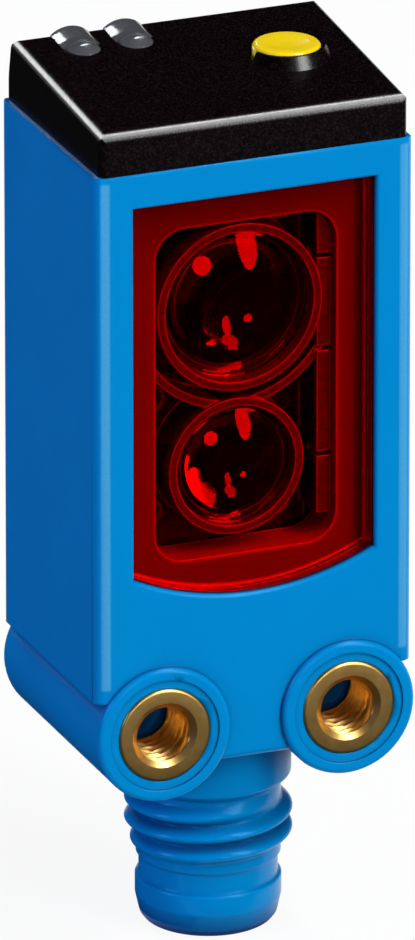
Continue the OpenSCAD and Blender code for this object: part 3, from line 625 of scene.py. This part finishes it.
def makeLens(name, node, size):
    low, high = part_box(node)
    radius = (high.x - low.x) / 2 / mm
    deep = (high.y - low.y) / mm
    sag = (deep - size["rim"]) / (1 + size["backShare"])
    rimBack = sag + size["rim"]
    front = [Vector((p.x, sag - p.y)) for p in dome(radius - size["flat"], sag, size["steps"])]
    rearDome = dome(radius - size["backFlat"], sag * size["backShare"], size["steps"])
    rear = [Vector((p.x, rimBack + p.y)) for p in rearDome]
    rim = [Vector((radius, sag)), Vector((radius, rimBack))]
    mesh = lathe(name, front + rim + rear[::-1], size["around"])
    centre = Vector(((low.x + high.x) / 2, low.y, (low.z + high.z) / 2))
    placed(mesh, Matrix.Translation(centre) @ Matrix.Rotation(-pi / 2, 4, "X"))
    addPiece(name, smoothed(mesh), lensClear, "sensor", node)


makeLens("receiver_optic", "receiver_lens", lensSizes)
makeLens("sender_optic", "sender_lens", lensSizes)
print("window and lenses made")

# CAD nodes whose shape is right get their finish
finishes = {
    "window_seal": sealGrey, "top_cover": coverBlack, "cover_seal": gasketDark, "teach_button": buttonYellow,
    "power_light_pipe": pipeClear, "signal_light_pipe": pipeClear, "optics_carrier": carrierDark,
    "optics_board": boardGreen, "photo_receiver": chipDark, "sender_led": diodeRed, "main_board": boardGreen,
    "signal_chip": chipDark, "output_driver": chipDark, "chip_capacitors": capacitorTan,
    "board_links": pinGold, "indicator_board": boardGreen, "power_led": diodeGreen,
    "signal_led": diodeYellow, "tact_switch": switchSteel, "switch_plunger": chipDark,
    "pin_carrier": blockDark, "contact_pins": pinGold, "sealing_resin": resinDark,
    "connector_board": boardGreen}
for node, material in finishes.items():
    for socket in cadNodes[node].material_slots:
        socket.material = material
print("finishes set on", len(finishes), "nodes")

# camera at the photograph's angle; the frame is 415 by 940 pixels
view = {
    "turn": 21.9, "rise": 21.2, "distance": 0.85, "pixelsPerMm": 21.28, "target": (-0.03, 0.0, 22.49),
    "frameHeight": 940, "sensor": 36.0, "clip": (0.05, 20)}
camera = bpy.data.objects.new("camera", bpy.data.cameras.new("camera"))
scene.collection.objects.link(camera)
scene.camera = camera
turn, rise = radians(view["turn"]), radians(view["rise"])
outwards = Vector((-sin(turn) * cos(rise), -cos(turn) * cos(rise), sin(rise)))
camera.location = Vector(view["target"]) * mm + outwards * view["distance"]
camera.rotation_euler = outwards.to_track_quat("Z", "Y").to_euler()
camera.data.sensor_width = view["sensor"]
camera.data.lens = view["sensor"] * view["pixelsPerMm"] * view["distance"] / mm / view["frameHeight"]
camera.data.clip_start, camera.data.clip_end = view["clip"]

# lamps: direction from the object, distance and size in m, brightness of the lamp's face
# gloss: shows in reflections alone; matte: shows in none; only and spare: pieces that it is kept on or off
lamps = {
    "main": {"from": (0.38, -0.66, 0.65), "distance": 0.9, "size": (0.36, 0.50), "bright": 8.5},
    "key": {"from": (0.46, -0.86, 0.24), "distance": 0.8, "size": (0.17, 0.40), "bright": 10.0},
    "front": {"from": (-0.02, -0.98, 0.12), "distance": 0.8, "size": (0.16, 0.16), "bright": 11.0,
              "spare": ("top_cover",)},
    "overhead": {"from": (0.34, -0.36, 0.87), "distance": 0.6, "size": (0.25, 0.12), "bright": 19.0},
    "rear": {"from": (-0.10, 0.90, 0.42), "distance": 0.6, "size": (0.20, 0.14), "bright": 24.0,
             "matte": True},
    "capLeft": {"from": (-0.36, 0.87, 0.34), "distance": 0.6, "size": (0.30, 0.26), "bright": 10.0,
                "gloss": True, "only": ("top_cover",)},
    "capFront": {"from": (0.34, -0.36, 0.87), "distance": 0.6, "size": (0.35, 0.30), "bright": 2.0,
                 "gloss": True, "only": ("top_cover",)},
    "leftFill": {"from": (-0.90, -0.05, 0.32), "distance": 0.8, "size": (0.30, 0.30), "bright": 12.8,
                 "colour": (0.50, 0.55, 1.0), "spare": ("top_cover",)},
    "backSpot": {"from": (0.27, 0.88, 0.39), "distance": 0.7, "size": (0.016, 0.016), "bright": 60.0,
                 "gloss": True, "only": ("teach_button",)}}
lampAim = Vector((0, 0, 22)) * mm


def addLamp(name, lamp):
    data = bpy.data.lights.new(name, "AREA")
    data.shape = "ELLIPSE"
    data.size, data.size_y = lamp["size"]
    data.energy = lamp["bright"] * pi * pi / 4 * data.size * data.size_y  # an ellipse's area times pi
    data.color = lamp.get("colour", (1, 1, 1))
    light = bpy.data.objects.new(name, data)
    scene.collection.objects.link(light)
    way = Vector(lamp["from"]).normalized()
    light.location = lampAim + way * lamp["distance"]
    light.rotation_euler = way.to_track_quat("Z", "Y").to_euler()
    light.visible_camera = False
    light.visible_diffuse = not lamp.get("gloss", False)
    light.visible_glossy = not lamp.get("matte", False)
    for key, state in (("only", "INCLUDE"), ("spare", "EXCLUDE")):
        for piece in lamp.get(key, ()):
            if not light.light_linking.receiver_collection:
                light.light_linking.receiver_collection = bpy.data.collections.new(name)
            flagged = light.light_linking.receiver_collection
            flagged.objects.link(bpy.data.objects[piece])
            flagged.collection_objects[-1].light_linking.link_state = state


for name, lamp in lamps.items():
    addLamp(name, lamp)

worldLook = {"dim": 0.05, "white": 1.0}


def seenRays(tree):  # 1 where the camera looks, straight or by way of gloss and glass
    rays = addNode(tree, "LightPath").outputs
    indirect = calc(tree, "MAXIMUM", rays["Is Glossy Ray"], rays["Is Transmission Ray"])
    return calc(tree, "MAXIMUM", rays["Is Camera Ray"], indirect)


world = bpy.data.worlds.new("studio")
scene.world = world
world.use_nodes = True
sky = world.node_tree
glow = spread(sky, seenRays(sky), worldLook["dim"], worldLook["white"], 0, 1)
dress(sky, sky.nodes["Background"], {"Color": (1, 1, 1, 1), "Strength": glow})

# dark cards on the table and a dark tent over it, which only reflections see
cards = {
    "frontCard": {"middle": (0.6, -1.255, 0.0005), "size": (3.0, 2.5), "grey": 0.02},
    "leftCard": {"middle": (-0.252, 0.246, 0.0005), "size": (0.5, 0.5), "grey": 0.01}}
tent = {"radius": 3.0, "rows": 12, "grey": 0.02, "around": 48}


def addFlag(name, mesh, grey):
    material, tree, shader = freshMaterial(name)
    dress(tree, shader, {"Base Color": (grey, grey, grey, 1), "Specular IOR Level": 0.0})
    mesh.materials.append(material)
    flag = bpy.data.objects.new(name, mesh)
    scene.collection.objects.link(flag)
    flag.visible_camera = False
    flag.visible_diffuse = False
    flag.visible_shadow = False


for name, card in cards.items():
    bm = bmesh.new()
    bmesh.ops.create_grid(bm, x_segments=1, y_segments=1, size=0.5)
    reach = Matrix.Translation(card["middle"]) @ Matrix.Diagonal((*card["size"], 1, 1))
    addFlag(name, placed(meshFrom(bm, name), reach), card["grey"])
slopes = [pi / 2 * k / tent["rows"] for k in range(tent["rows"] + 1)]
arch = [Vector((cos(a), sin(a))) * tent["radius"] / mm for a in slopes]
addFlag("tent", lathe("tent", arch, tent["around"]), tent["grey"])

# floor: pale, white to the camera and in reflections, with the shadow kept
floorLook = {"radius": 6.0, "segments": 64, "pale": 0.40, "roughness": 0.9, "lift": 0.8, "white": 1.13}


def makeFloor(look):
    bm = bmesh.new()
    bmesh.ops.create_circle(bm, cap_ends=True, segments=look["segments"], radius=look["radius"])
    mesh = meshFrom(bm, "floor")
    floor = bpy.data.objects.new("floor", mesh)
    scene.collection.objects.link(floor)
    material, tree, shader = freshMaterial("floorPale")
    dress(tree, shader, {
        "Base Color": (look["pale"], look["pale"], look["pale"], 1), "Roughness": look["roughness"],
        "Specular IOR Level": 0.0})
    white = addNode(tree, "Emission", {"Strength": look["white"]})
    lift = calc(tree, "MULTIPLY", seenRays(tree), look["lift"])
    mix = addNode(tree, "MixShader", {0: lift, 1: shader.outputs[0], 2: white.outputs[0]})
    tree.links.new(mix.outputs[0], tree.nodes["Material Output"].inputs["Surface"])
    mesh.materials.append(material)


makeFloor(floorLook)
scene.view_settings.view_transform = "Standard"
print("camera, lamps and floor set")
